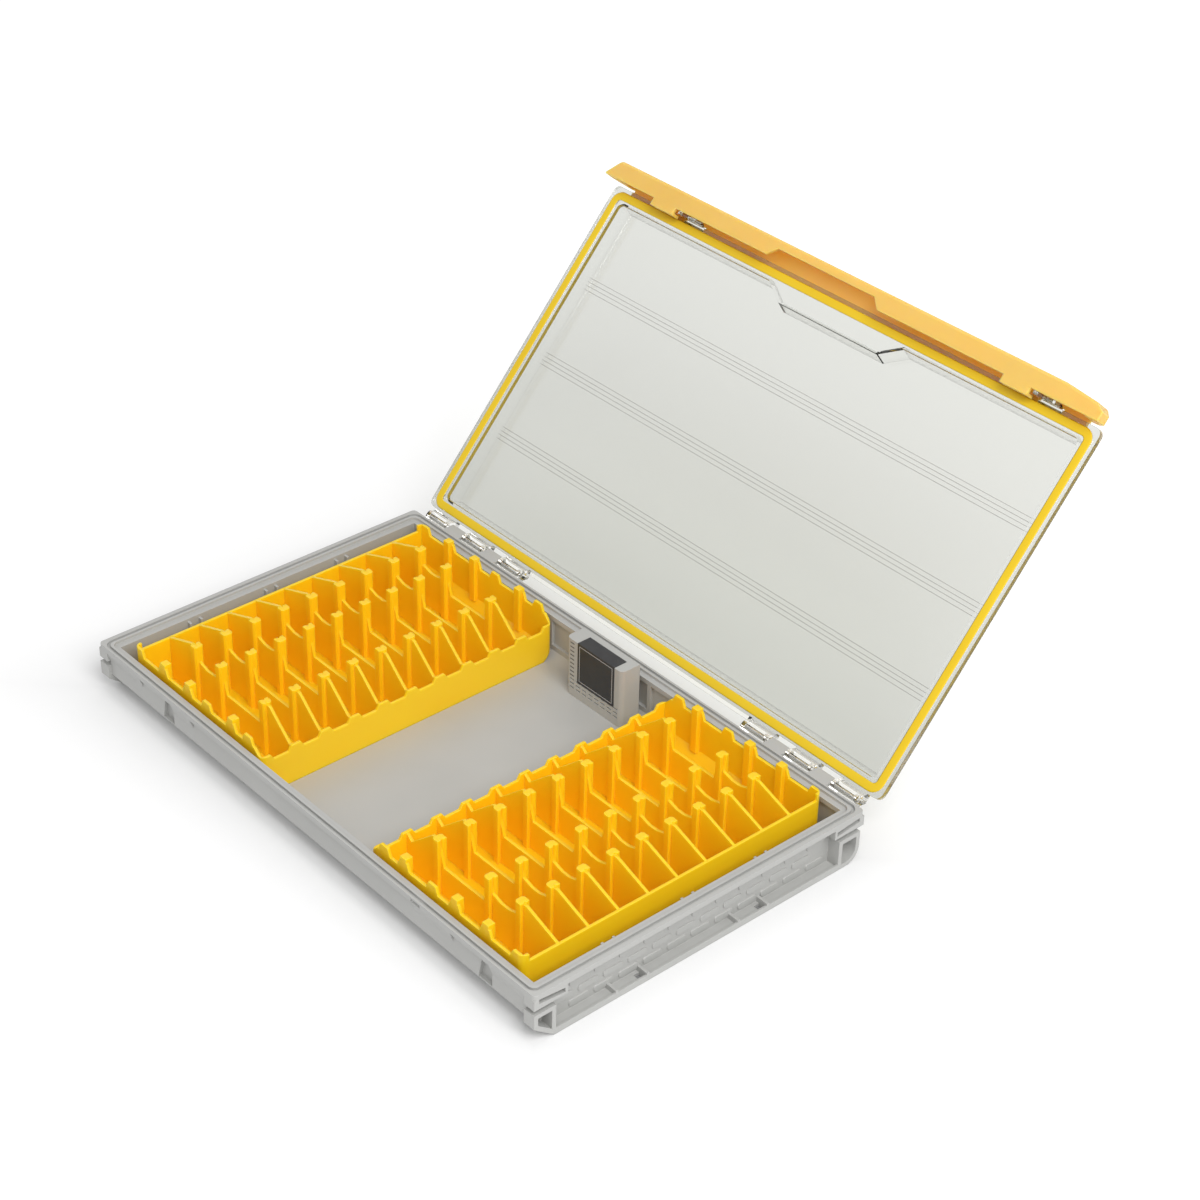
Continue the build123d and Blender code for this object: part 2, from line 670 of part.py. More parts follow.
# Latch: a hollow bar the whole width of the lid, hinged on top of it, with two hooks
tip_x = -end_x - latch_tip_overhang
with BuildPart() as latch:
    with BuildSketch(lid_frame.offset(latch_low)):
        with BuildLine():
            Polyline(
                (tip_x, latch_back),
                (tip_x, latch_back - latch_lap),
                (tip_x + latch_tip_slant, latch_front),
                (end_x - latch_shoulder, latch_front),
                (end_x - latch_end_slant, latch_front + latch_shoulder_step),
                (end_x, latch_back - latch_end_drop),
                (end_x, latch_back),
                close=True,
            )
        make_face()
    extrude(amount=latch_top - latch_low)
    front_edges = latch.edges().filter_by(Axis.X)
    front_edges = front_edges.sort_by_distance(lid_frame.from_local_coords((0, latch_front, lid_low)))
    fillet(front_edges[:2], latch_edge_round)
    # Crowned ends
    with BuildSketch(lid_face.offset(-latch_back)):
        for outer_x, inner_x in ((tip_x, tip_x + latch_crown), (end_x, end_x - latch_crown)):
            with BuildLine():
                Polyline(
                    (outer_x, latch_top),
                    (inner_x, latch_top),
                    (outer_x, latch_top - latch_crown),
                    close=True,
                )
            make_face()
    extrude(amount=latch_reach, mode=Mode.SUBTRACT)
    # Hollow, open towards the lid
    inner_front = latch_front + latch_wall
    inner_tip = tip_x + latch_wall
    inner_end = end_x - latch_wall
    hollow_floor = latch_low + latch_wall
    hollow_top = latch_top - latch_wall
    with BuildSketch(lid_frame.offset(hollow_floor)):
        with BuildLine():
            Polyline(
                (inner_tip, latch_back + latch_lap),
                (inner_tip, latch_back - latch_lap),
                (inner_tip + latch_tip_slant - latch_wall / 2, inner_front),
                (end_x - latch_shoulder, inner_front),
                (inner_end - latch_end_slant + latch_wall / 2, inner_front + latch_shoulder_step),
                (inner_end, latch_back - latch_end_drop),
                (inner_end, latch_back + latch_lap),
                close=True,
            )
        make_face()
    extrude(amount=hollow_top - latch_crown - hollow_floor, mode=Mode.SUBTRACT)
    with BuildSketch(lid_frame.offset(hollow_floor)):
        crown_front = inner_front + latch_shoulder_step
        crown_length = inner_end - inner_tip - 2 * latch_crown - latch_wall
        with Locations(((inner_tip + inner_end) / 2, (crown_front + latch_back) / 2)):
            Rectangle(crown_length, latch_back - crown_front)
    extrude(amount=hollow_top - hollow_floor, mode=Mode.SUBTRACT)
    with BuildSketch(lid_side.offset(-latch_plate_half)):
        with BuildLine():
            Polyline(
                (latch_back - latch_lap, hollow_top),
                (latch_back - latch_lap, latch_top),
                (pivot_y, latch_top),
                (pivot_y, hollow_top),
                close=True,
            )
        make_face()
        with Locations((pivot_y, pivot_z)):
            Circle(latch_barrel)
    extrude(amount=2 * latch_plate_half)
    # Hooks that reach under the case's catch lips
    hook_tip = wall_front - hook_gap
    for station in (-hook_station, hook_station):
        with BuildSketch(lid_side.offset(station - catch_lip_width / 2)):
            with BuildLine():
                Polyline(
                    (latch_back - latch_wall, latch_low),
                    (hook_tip, latch_low),
                    (hook_tip, flange_base - catch_play),
                    (hook_tip - hook_wall, flange_base - catch_play),
                    (hook_tip - hook_wall, latch_low + latch_wall),
                    (latch_back - latch_wall, latch_low + latch_wall),
                    close=True,
                )
            make_face()
        extrude(amount=hook_width)
    # Room for the lid's ears, and blind bores for the pins beside them
    for start in lug_starts:
        with BuildSketch(lid_side.offset(start - lug_gap)):
            with Locations((pivot_y, pivot_z)):
                Rectangle(lug_room, lug_room)
        extrude(amount=lug_width + 2 * lug_gap, mode=Mode.SUBTRACT)
        bore_start = start - lug_gap - latch_pin_grip - running_clearance
        with BuildSketch(lid_side.offset(bore_start)):
            with Locations((pivot_y, pivot_z)):
                Circle(latch_pin_radius + running_clearance)
        extrude(amount=lug_width + 2 * (start - bore_start), mode=Mode.SUBTRACT)
    # Finger scoop in the lower face
    with BuildSketch(lid_frame.offset(latch_low)):
        with BuildLine():
            Polyline(
                (scoop_centre - scoop_half, latch_back),
                (scoop_centre - scoop_tip_half, latch_back - scoop_depth),
                (scoop_centre + scoop_tip_half, latch_back - scoop_depth),
                (scoop_centre + scoop_half, latch_back),
                close=True,
            )
        make_face()
    extrude(amount=latch_wall, mode=Mode.SUBTRACT)

# Latch pins
latch_pins = {}
for name, start in zip(("left", "right"), lug_starts):
    with BuildPart() as latch_pin:
        with BuildSketch(lid_side.offset(start - lug_gap - latch_pin_grip)):
            with Locations((pivot_y, pivot_z)):
                Circle(latch_pin_radius)
        extrude(amount=lug_width + 2 * (lug_gap + latch_pin_grip))
    latch_pins["latch_pin_" + name] = latch_pin.part


def post_outline():
    """Section of a divider post, with an upright groove in its outward face."""
    half_x = post_length / 2
    half_y = post_width / 2
    points = [
        (-half_x, -half_y + post_groove),
        (-half_x + post_groove, -half_y),
        (half_x, -half_y),
        (half_x, -post_groove),
        (half_x - post_groove, 0),
        (half_x, post_groove),
        (half_x, half_y),
        (-half_x + post_groove, half_y),
        (-half_x, half_y - post_groove),
    ]
    Polygon(*points, align=None)


# Lure trays: the right one as drawn, the left one turned half a turn
tray_base = floor_thickness
tray_end_top = rim_height + tray_end_rise
tray_inner_top = rim_height - tray_inner_drop
side_top = rim_height + tray_side_rise
bump_top_z = rim_height + bump_rise
outer_post_top = rim_height + outer_post_rise
inner_post_top = rim_height + inner_post_rise
half_post_top = rim_height + half_post_rise
post_places = (
    (inner_post_x, inner_post_top),
    (middle_post_x, outer_post_top),
    (outer_post_x, outer_post_top),
)
bump_places = [
    tray_x0 + inner_bump_setback,
    inner_post_x,
    tray_x1 - middle_bump_setback,
    middle_post_x,
    outer_post_x,
]
trays = {}
for name, facing in (("tray_right", 1), ("tray_left", -1)):
    level = Plane(origin=(0, 0, 0), x_dir=(facing, 0, 0), z_dir=(0, 0, 1))
    across = Plane(origin=(0, 0, 0), x_dir=(0, facing, 0), z_dir=(facing, 0, 0))
    along = Plane(origin=(0, 0, 0), x_dir=(facing, 0, 0), z_dir=(0, -facing, 0))
    with BuildPart() as tray:
        for inset, mode in ((0, Mode.ADD), (tray_wall, Mode.SUBTRACT)):
            slope = tray_slope - inset * (2 - 2**0.5)
            with BuildSketch(across.offset(tray_x0 + inset)):
                with BuildLine():
                    Polyline(
                        (-tray_y + inset, bump_top_z),
                        (-tray_y + inset, tray_base + inset + slope),
                        (-tray_y + inset + slope, tray_base + inset),
                        (tray_y - inset - slope, tray_base + inset),
                        (tray_y - inset, tray_base + inset + slope),
                        (tray_y - inset, bump_top_z),
                        close=True,
                    )
                make_face()
            extrude(amount=tray_x1 - tray_x0 - 2 * inset, mode=mode)
            if inset == 0:
                corner_edges = tray.edges().filter_by(Axis.Z)
                fillet(corner_edges, tray_corner)
        # Skyline of the long sides, with a bump beside each post
        above = bump_top_z + skyline_margin
        past_inner = tray_x0 - skyline_margin
        past_end = tray_x1 + skyline_margin
        skyline = [(past_inner, above), (past_inner, tray_inner_top)]
        skyline += [(tray_x0 + tray_wall, tray_inner_top)]
        skyline += [(tray_x0 + inner_bump_setback / 2, side_top)]
        for place in bump_places:
            skyline += [(place - bump_base / 2, side_top), (place - bump_top / 2, bump_top_z)]
            skyline += [(place + bump_top / 2, bump_top_z), (place + bump_base / 2, side_top)]
        corner_foot = tray_x1 - bump_base
        corner_top = corner_foot + (bump_base - bump_top) / 2
        skyline += [(corner_foot, side_top), (corner_top, bump_top_z)]
        skyline += [(past_end, bump_top_z), (past_end, above)]
        with BuildSketch(along.offset(-tray_y)):
            with BuildLine():
                Polyline(*skyline, close=True)
            make_face()
        extrude(amount=2 * tray_y, mode=Mode.SUBTRACT)
        # End wall, level between the corner bumps
        with BuildSketch(across.offset(tray_x1 - tray_corner)):
            with Locations((0, (tray_end_top + bump_top_z) / 2)):
                Rectangle(2 * (tray_y - tray_corner), bump_top_z - tray_end_top)
        extrude(amount=tray_corner, mode=Mode.SUBTRACT)
        # Notches in the low inner wall, one for each bay
        notch_half = (bay_pitch - tray_notch_gap) / 2
        with BuildSketch(across.offset(tray_x0)):
            with Locations((0, tray_inner_top)):
                with GridLocations(bay_pitch, 0, bay_count, 1):
                    Polygon(
                        (-notch_half, 0),
                        (-notch_half + tray_notch_slant, -tray_notch_depth),
                        (notch_half - tray_notch_slant, -tray_notch_depth),
                        (notch_half, 0),
                        align=None,
                    )
        extrude(amount=tray_wall, mode=Mode.SUBTRACT)
        # Divider plates
        for row in range(1, bay_count):
            row_y = (row - bay_count / 2) * bay_pitch
            with BuildSketch(along.offset(row_y - divider_wall / 2)):
                with BuildLine():
                    low = rim_height - web_drop
                    saddle = rim_height - saddle_drop
                    saddle_reach = 2 * post_length
                    inner_top = inner_post_top - divider_drop
                    outer_top = outer_post_top - divider_drop
                    Polyline(
                        (tray_x0 + tray_wall / 2, tray_base + tray_floor / 2),
                        (tray_x0 + tray_wall / 2, tray_inner_top),
                        (tray_x0 + gusset_foot_setback, rim_height - gusset_foot_drop),
                        (inner_post_x - post_length, inner_top),
                        (inner_post_x, inner_top),
                        (inner_post_x + post_length, low),
                        (middle_post_x - post_length, low),
                        (middle_post_x, outer_top),
                        (middle_post_x + post_length / 2, rim_height),
                        (middle_post_x + saddle_reach, saddle),
                        (outer_post_x - saddle_reach, saddle),
                        (outer_post_x - post_length / 2, rim_height),
                        (outer_post_x, outer_top),
                        (outer_post_x + post_length, outer_top),
                        (tray_x1 - tray_wall / 2, tray_end_top),
                        (tray_x1 - tray_wall / 2, tray_base + tray_floor / 2),
                        close=True,
                    )
                make_face()
            extrude(amount=divider_wall)
        # Posts on the dividers, and half posts on the long sides
        for post_x, post_top in post_places:
            with BuildSketch(level.offset(tray_base + tray_floor / 2)):
                with Locations((post_x, 0)):
                    with GridLocations(0, bay_pitch, 1, bay_count - 1):
                        post_outline()
            extrude(amount=post_top - tray_base - tray_floor / 2)
        with BuildSketch(level.offset(tray_base + tray_slope)):
            for post_x, post_top in post_places:
                for edge in (-1, 1):
                    with Locations((post_x, edge * (tray_y - tray_wall / 2 - half_post_reach / 2))):
                        Rectangle(post_length, tray_wall + half_post_reach)
        extrude(amount=half_post_top - tray_base - tray_slope)
    trays[name] = tray.part

# Desiccant holder: a slotted box against the back wall
inside_low = floor_thickness + holder_heel_rise + holder_wall
inside_top = holder_top - holder_wall
inside_width = holder_width - 2 * holder_wall
with BuildPart() as desiccant_holder:
    with BuildSketch(Plane.XY.offset(floor_thickness)):
        with Locations((holder_mid, (holder_front + holder_back) / 2)):
            Rectangle(holder_width, holder_depth)
    extrude(amount=holder_top - floor_thickness)
    upright = desiccant_holder.edges().filter_by(Axis.Z).sort_by(Axis.Y)
    fillet(upright[:2], holder_round)
    # Heel cut away over the curve at the foot of the case's back wall
    with BuildSketch(Plane.YZ.offset(holder_left)):
        with BuildLine():
            Polyline(
                (holder_back - holder_heel_run, floor_thickness),
                (holder_back, floor_thickness),
                (holder_back, floor_thickness + holder_heel_rise),
                close=True,
            )
        make_face()
    extrude(amount=holder_width, mode=Mode.SUBTRACT)
    with BuildSketch(Plane.XZ.offset(-holder_back)):
        with Locations((holder_mid, (inside_low + inside_top) / 2)):
            Rectangle(inside_width, inside_top - inside_low)
    extrude(amount=holder_depth - holder_wall, mode=Mode.SUBTRACT)
    with BuildSketch(Plane.XZ.offset(-holder_front)):
        with Locations((holder_mid, floor_thickness + vent_foot)):
            with Locations((0, (vent_rows - 1) * vent_pitch_z / 2)):
                with GridLocations(vent_pitch_x, vent_pitch_z, vent_columns, vent_rows):
                    Rectangle(vent_length, vent_height)
    extrude(amount=-holder_wall, mode=Mode.SUBTRACT)

# Back cover of the holder, flush inside its walls
with BuildPart() as holder_cover:
    with BuildSketch(Plane.XZ.offset(-holder_back)):
        with Locations((holder_mid, (inside_low + inside_top) / 2)):
            Rectangle(
                inside_width - 2 * cover_clearance,
                inside_top - inside_low - 2 * cover_clearance,
            )
    extrude(amount=cover_thickness)

# Desiccant pack, a soft pouch standing inside the holder
with BuildPart() as desiccant_pack:
    pack_depth = holder_depth - holder_wall - cover_thickness - 2 * pack_gap
    pack_mid_y = holder_front + holder_wall + pack_gap + pack_depth / 2
    with BuildSketch(Plane.XY.offset(inside_low)):
        with Locations((holder_mid, pack_mid_y)):
            RectangleRounded(inside_width - 2 * pack_gap, pack_depth, pack_depth / 3)
    extrude(amount=pack_rise)

# Label, wrapped from the holder's front over its top edge
with BuildPart() as holder_label:
    with BuildSketch(Plane.YZ.offset(label_left)):
        with BuildLine():
            Polyline(
                (holder_front, holder_top - label_drop),
                (holder_front, holder_top),
                (holder_front + label_lap, holder_top),
                (holder_front + label_lap, holder_top + label_thickness),
                (holder_front - label_thickness, holder_top + label_thickness),
                (holder_front - label_thickness, holder_top - label_drop),
                close=True,
            )
        make_face()
    extrude(amount=label_width)

pieces = {
    "base_case": base_case.part,
    "lid": lid.part,
    "lid_seal": lid_seal.part,
    "latch": latch.part,
    "desiccant_holder": desiccant_holder.part,
    "holder_cover": holder_cover.part,
    "desiccant_pack": desiccant_pack.part,
    "holder_label": holder_label.part,
}
pieces.update(hinge_pins)
pieces.update(latch_pins)
pieces.update(trays)
for name, piece in pieces.items():
    piece.label = name
    export_step(piece, "parts/" + name + ".step")
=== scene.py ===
import bmesh
import bpy
import json
import math
from mathutils import Matrix, Vector


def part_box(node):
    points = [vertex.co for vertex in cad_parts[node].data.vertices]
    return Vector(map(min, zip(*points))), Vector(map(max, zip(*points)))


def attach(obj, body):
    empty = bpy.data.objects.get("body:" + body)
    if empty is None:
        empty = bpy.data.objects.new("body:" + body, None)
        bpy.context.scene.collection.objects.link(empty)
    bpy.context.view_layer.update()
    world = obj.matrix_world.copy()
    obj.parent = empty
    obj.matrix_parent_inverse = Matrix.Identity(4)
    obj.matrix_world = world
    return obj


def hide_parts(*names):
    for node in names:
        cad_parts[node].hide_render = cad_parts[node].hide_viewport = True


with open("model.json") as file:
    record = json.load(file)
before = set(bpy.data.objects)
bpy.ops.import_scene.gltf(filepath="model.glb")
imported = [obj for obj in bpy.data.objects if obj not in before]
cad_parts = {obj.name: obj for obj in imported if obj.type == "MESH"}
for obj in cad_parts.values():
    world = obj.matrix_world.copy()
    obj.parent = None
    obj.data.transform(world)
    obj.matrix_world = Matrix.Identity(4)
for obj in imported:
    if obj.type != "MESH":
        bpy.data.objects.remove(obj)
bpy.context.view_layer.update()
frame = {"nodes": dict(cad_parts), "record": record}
nodes = frame["nodes"]
scene = bpy.context.scene
hingeJoint = frame["record"]["behaviour"]["joints"][0]
hingePlace = Vector(hingeJoint["pos_m"])
openAngle = math.radians(hingeJoint["range_deg"][1])  # how far the lid is open at rest
print("frame loaded with", len(nodes), "pieces")


# Maths on sockets: a Term is one socket, and sums of Terms add Math nodes

class Term:
    def __init__(self, tree, socket):
        self.tree = tree
        self.socket = socket

    def combine(self, operation, other=None, swapped=False, clamp=False):
        made = self.tree.nodes.new("ShaderNodeMath")
        made.operation = operation
        made.use_clamp = clamp
        pair = (other, self) if swapped else (self, other)
        for index, value in enumerate(pair):
            if isinstance(value, Term):
                self.tree.links.new(value.socket, made.inputs[index])
            elif value is not None:
                made.inputs[index].default_value = value
        return Term(self.tree, made.outputs[0])

    def __add__(self, other):
        return self.combine("ADD", other)

    def __sub__(self, other):
        return self.combine("SUBTRACT", other)

    def __rsub__(self, other):
        return self.combine("SUBTRACT", other, swapped=True)

    def __mul__(self, other):
        return self.combine("MULTIPLY", other)

    def __mod__(self, other):
        return self.combine("FLOORED_MODULO", other)

    def __neg__(self):
        return self.combine("MULTIPLY", -1.0)

    __radd__ = __add__
    __rmul__ = __mul__

    def over(self, limit):
        return self.combine("GREATER_THAN", limit)

    def under(self, limit):
        return self.combine("LESS_THAN", limit)

    def size(self):
        return self.combine("ABSOLUTE")

    def sign(self):
        return self.combine("SIGN")

    def inRange(self):
        return self.combine("ADD", 0.0, clamp=True)


class Board:
    # a node tree, with one short way to add nodes to it
    def __init__(self, tree):
        self.tree = tree

    def node(self, kind, settings=None, sockets=None):
        made = self.tree.nodes.new(kind)
        for key, value in (settings or {}).items():
            setattr(made, key, value)
        for key, value in (sockets or {}).items():
            for each in value if isinstance(value, list) else [value]:
                if isinstance(each, Term):
                    each = each.socket
                if isinstance(each, bpy.types.NodeSocket):
                    self.tree.links.new(each, made.inputs[key])
                else:
                    made.inputs[key].default_value = each
        return made

    def term(self, kind, output, settings=None, sockets=None):
        return Term(self.tree, self.node(kind, settings, sockets).outputs[output])

    def axes(self, vector):
        split = self.node("ShaderNodeSeparateXYZ", None, {0: vector})
        return [Term(self.tree, split.outputs[i]) for i in range(3)]

    def vector(self, x, y, z):
        return self.node("ShaderNodeCombineXYZ", None, {0: x, 1: y, 2: z}).outputs[0]

    def rays(self, *kinds):
        # 1 on rays of these kinds, 0 on all others
        path = self.node("ShaderNodeLightPath")
        return sum(Term(self.tree, path.outputs["Is " + kind + " Ray"]) for kind in kinds).inRange()


class Finish(Board):
    def __init__(self, name):
        self.material = bpy.data.materials.new(name)
        self.material.use_nodes = True
        super().__init__(self.material.node_tree)
        self.tree.nodes.clear()
        self.place = self.node("ShaderNodeTexCoord").outputs["Object"]

    def noise(self, scale, detail, roughness=0.5, vector=None):
        return self.term("ShaderNodeTexNoise", "Fac", None, {
            "Vector": vector or self.place, "Scale": scale,
            "Detail": detail, "Roughness": roughness})

    def blend(self, factor, first, second):
        made = self.node("ShaderNodeMix", {"data_type": "RGBA"}, {
            0: factor, 6: first, 7: second})  # sockets 6 and 7 are the two colours
        return made.outputs[2]

    def edges(self, radius, samples=6):
        # where a rounded normal leaves the flat one, the surface has an edge
        rounded = self.node("ShaderNodeBevel", {"samples": samples}, {"Radius": radius}).outputs[0]
        flat = self.node("ShaderNodeNewGeometry").outputs["Normal"]
        agreement = self.term("ShaderNodeVectorMath", "Value", {"operation": "DOT_PRODUCT"}, {
            0: rounded, 1: flat})
        return rounded, (1 - agreement).inRange()

    def bump(self, height, distance, strength, normal=None):
        sockets = {"Height": height, "Distance": distance, "Strength": strength}
        if normal is not None:
            sockets["Normal"] = normal
        return self.node("ShaderNodeBump", None, sockets).outputs[0]

    def finish(self, sockets):
        shader = self.node("ShaderNodeBsdfPrincipled", None, sockets)
        self.node("ShaderNodeOutputMaterial", None, {"Surface": shader.outputs[0]})
        return self.material


class Pattern(Board):
    # a geometry tree whose sizes are named inputs
    socketKinds = {int: "NodeSocketInt", float: "NodeSocketFloat", tuple: "NodeSocketVector"}

    def __init__(self, name, sizes):
        super().__init__(bpy.data.node_groups.new(name, "GeometryNodeTree"))
        face = self.tree.interface
        face.new_socket("Geometry", in_out="OUTPUT", socket_type="NodeSocketGeometry")
        self.keys = {}
        for label, value in sizes.items():
            kind = self.socketKinds[type(value)]
            socket = face.new_socket(label, in_out="INPUT", socket_type=kind)
            socket.default_value = value
            self.keys[label] = socket.identifier
        socket = face.new_socket("Finish", in_out="INPUT", socket_type="NodeSocketMaterial")
        self.keys["Finish"] = socket.identifier
        self.entry = self.node("NodeGroupInput")

    def given(self, label):
        return Term(self.tree, self.entry.outputs[label])

    def close(self, geometry):
        turned = self.node("GeometryNodeTransform", None, {
            "Geometry": geometry, "Translation": self.given("Place"),
            "Rotation": self.given("Turn")})
        plain = self.node("GeometryNodeRealizeInstances", None, {0: turned.outputs[0]})
        painted = self.node("GeometryNodeSetMaterial", None, {
            "Geometry": plain.outputs[0], "Material": self.given("Finish")})
        self.node("NodeGroupOutput", None, {0: painted.outputs[0]})

    def make(self, name, values, body, slotName):
        piece = bpy.data.objects.new(name, bpy.data.meshes.new(name))
        scene.collection.objects.link(piece)
        maker = piece.modifiers.new("pattern", "NODES")
        maker.node_group = self.tree
        for label, value in values.items():
            maker[self.keys[label]] = value
        shaped = piece.evaluated_get(bpy.context.evaluated_depsgraph_get())
        mesh = bpy.data.meshes.new_from_object(shaped)
        piece.modifiers.remove(maker)
        piece.data = mesh
        mesh.name = name
        facesOutwards(mesh)
        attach(piece, body)
        print("made", name, "with", len(mesh.polygons), "faces")
        return piece


mergeDistance = 0.000002


def facesOutwards(mesh):
    work = bmesh.new()
    work.from_mesh(mesh)
    bmesh.ops.remove_doubles(work, verts=work.verts, dist=mergeDistance)
    bmesh.ops.recalc_face_normals(work, faces=work.faces)
    work.to_mesh(mesh)
    work.free()


def tone(red, green, blue):
    # a colour as seen on screen, 0 to 255, made linear
    def linear(value):
        share = value / 255
        return share / 12.92 if share <= 0.04045 else ((share + 0.055) / 1.055) ** 2.4
    return (linear(red), linear(green), linear(blue), 1.0)


# Moulded plastics: a fine grain, a slow mottle and a painted highlight along the edges. Sizes are
# in metres

mouldedPlastic = {
    "grainSize": 0.00035,
    "grainDepth": 0.00002,
    "grainStrength": 0.6,
    "grainGloss": 0.08,     # how much the grain changes the roughness
    "mottleSize": 0.05,
    "mottleStart": 0.35,    # the mottle takes the shade's colour above this level
    "mottleGain": 1.6,
    "mottleGloss": 0.12,
    "edgeRadius": 0.00035,
    "edgeGain": 2.2,
    "refraction": 1.49,
}

# "inside" is how far light spreads inside a soft, thin-walled piece
plasticLooks = {
    "caseGreyPlastic": {
        "colour": (180, 180, 177), "edge": (199, 199, 196), "shade": (173, 173, 170),
        "roughness": 0.45, "grain": 1.0,
    },
    "holderGreyPlastic": {
        "colour": (180, 180, 176), "edge": (200, 200, 196), "shade": (172, 172, 168),
        "roughness": 0.5, "grain": 1.0,
    },
    "ventShadowPlastic": {
        "colour": (96, 96, 94), "edge": (120, 120, 117), "shade": (84, 84, 82),
        "roughness": 0.7, "grain": 1.0,
    },
    "trayYellowPlastic": {
        "colour": (255, 205, 18), "edge": (255, 222, 84), "shade": (255, 199, 10),
        "roughness": 0.42, "grain": 0.8,
        "inside": {"Weight": 0.6, "Radius": (1.0, 0.85, 0.12), "Scale": 0.004},
    },
    "latchAmberPlastic": {
        "colour": (255, 194, 98), "edge": (255, 213, 138), "shade": (255, 187, 88),
        "roughness": 0.45, "grain": 0.8,
        "inside": {"Weight": 1.0, "Radius": (1.0, 0.75, 0.3), "Scale": 0.006},
    },
    "sealYellowRubber": {
        "colour": (230, 196, 22), "edge": (240, 212, 64), "shade": (222, 184, 12),
        "roughness": 0.55, "grain": 1.4,
    },
}


def makePlastic(name, look):
    made = Finish(name)
    # both noises swing about 0.5
    mottle = made.noise(1 / mouldedPlastic["mottleSize"], detail=3.0)
    grain = made.noise(1 / mouldedPlastic["grainSize"], detail=1.0)
    rounded, edge = made.edges(mouldedPlastic["edgeRadius"])
    shaded = (mottle - mouldedPlastic["mottleStart"]) * mouldedPlastic["mottleGain"]
    base = made.blend(shaded, tone(*look["colour"]), tone(*look["shade"]))
    # the edges take a paler colour: a painted highlight
    base = made.blend((edge * mouldedPlastic["edgeGain"]).inRange(), base, tone(*look["edge"]))
    depth = mouldedPlastic["grainDepth"] * look["grain"]
    roughness = look["roughness"] + (mottle - 0.5) * mouldedPlastic["mottleGloss"]
    roughness = roughness + (grain - 0.5) * mouldedPlastic["grainGloss"]
    sockets = {
        "Base Color": base,
        "Roughness": roughness.inRange(),
        "Normal": made.bump(grain, depth, mouldedPlastic["grainStrength"], rounded),
        "IOR": mouldedPlastic["refraction"],
    }
    for key, value in look.get("inside", {}).items():
        sockets["Subsurface " + key] = value
    return made.finish(sockets)


plastics = {name: makePlastic(name, look) for name, look in plasticLooks.items()}
print("made", len(plastics), "plastics")

# Clear lid: the rib outlines are drawn as dark lines of painted shade where they lie on the closed
# lid

lidFinish = {
    "tint": (211, 212, 207),
    "edgeTint": (112, 108, 101),
    "shadowTint": (244, 245, 242),
    "paintedReflectionTint": (253, 252, 249),
    "refraction": 1.46,
    "haze": 0.03,
    "sideHaze": 0.15,
    "edgeHaze": 0.05,
    "edgeRadius": 0.00035,
    "edgeGain": 3.0,
    "edgeShare": 0.85,
    "scuffScale": 900.0,
    "scuffHaze": 0.03,
    "rippleSize": 0.09,
    "rippleDepth": 0.00015,
    "rippleStrength": 0.3,
    "ribGroups": (-0.0496, 0.0, 0.0496),
    "ribLines": (-0.00365, -0.00115, 0.00115, 0.00365),
    "ribLineWidth": 0.00032,
    "ribLineShare": 0.55,
    "ribEnd": 0.1695,
    "panelLevel": 0.0385,   # the panel lies above this
    "stripStart": 0.1065,   # the hinge arms and knuckles lie behind this
    "sideStart": 0.1785,    # and the hazy ends of the lid outside this
}


def makeClearPlastic():
    made = Finish("clearLidPlastic")
    edgeTint = tone(*lidFinish["edgeTint"])
    ripple = made.noise(1 / lidFinish["rippleSize"], detail=1.0)
    scuff = made.noise(lidFinish["scuffScale"], detail=3.0, roughness=0.7)
    edge = made.edges(lidFinish["edgeRadius"], samples=8)[1]
    # the same spot on the closed lid
    closed = made.node("ShaderNodeVectorRotate", {"rotation_type": "X_AXIS"}, {
        "Vector": made.place, "Center": hingePlace, "Angle": openAngle}).outputs[0]
    x, y, z = made.axes(closed)
    outlines = 0.0
    for group in lidFinish["ribGroups"]:
        for line in lidFinish["ribLines"]:
            outlines = outlines + (y - (group + line)).size().under(lidFinish["ribLineWidth"] / 2)
    outlines = outlines * x.size().under(lidFinish["ribEnd"]) * z.over(lidFinish["panelLevel"])
    # behind the hinge edge the lid takes a paler tint: a painted reflection of white light
    paintedReflectionStrip = y.over(lidFinish["stripStart"])
    side = x.size().over(lidFinish["sideStart"])
    tint = made.blend(paintedReflectionStrip, tone(*lidFinish["tint"]), tone(*lidFinish["paintedReflectionTint"]))
    tint = made.blend(outlines.inRange() * lidFinish["ribLineShare"], tint, edgeTint)
    # the lid's edges are painted darker as well: painted shade where the clear plastic bends light
    edgeShare = (edge * lidFinish["edgeGain"]).inRange() * lidFinish["edgeShare"]
    haze = lidFinish["haze"] + scuff * lidFinish["scuffHaze"] + edge * lidFinish["edgeHaze"]
    clear = made.node("ShaderNodeBsdfPrincipled", None, {
        "Base Color": made.blend(edgeShare, tint, edgeTint),
        "Roughness": (haze + side * lidFinish["sideHaze"]).inRange(),
        "Normal": made.bump(ripple, lidFinish["rippleDepth"], lidFinish["rippleStrength"]),
        "Transmission Weight": 1.0,
        "IOR": lidFinish["refraction"],
    })
    # light shines through the clear plastic instead of leaving a solid shadow
    passing = made.node("ShaderNodeBsdfTransparent", None, {
        "Color": tone(*lidFinish["shadowTint"])})
    mixed = made.node("ShaderNodeMixShader", None, {
        0: made.rays("Shadow", "Diffuse"), 1: clear.outputs[0], 2: passing.outputs[0]})
    made.node("ShaderNodeOutputMaterial", None, {"Surface": mixed.outputs[0]})
    return made.material


clearLid = makeClearPlastic()

# Steel of the hinge and latch pins, with streaks drawn out along them

pinFinish = {
    "dark": (150, 148, 143),
    "bright": (186, 184, 180),
    "streaks": (60, 4000, 4000),
    "streakDepth": 0.00001,
    "streakGloss": 0.16,
    "roughness": 0.24,
}


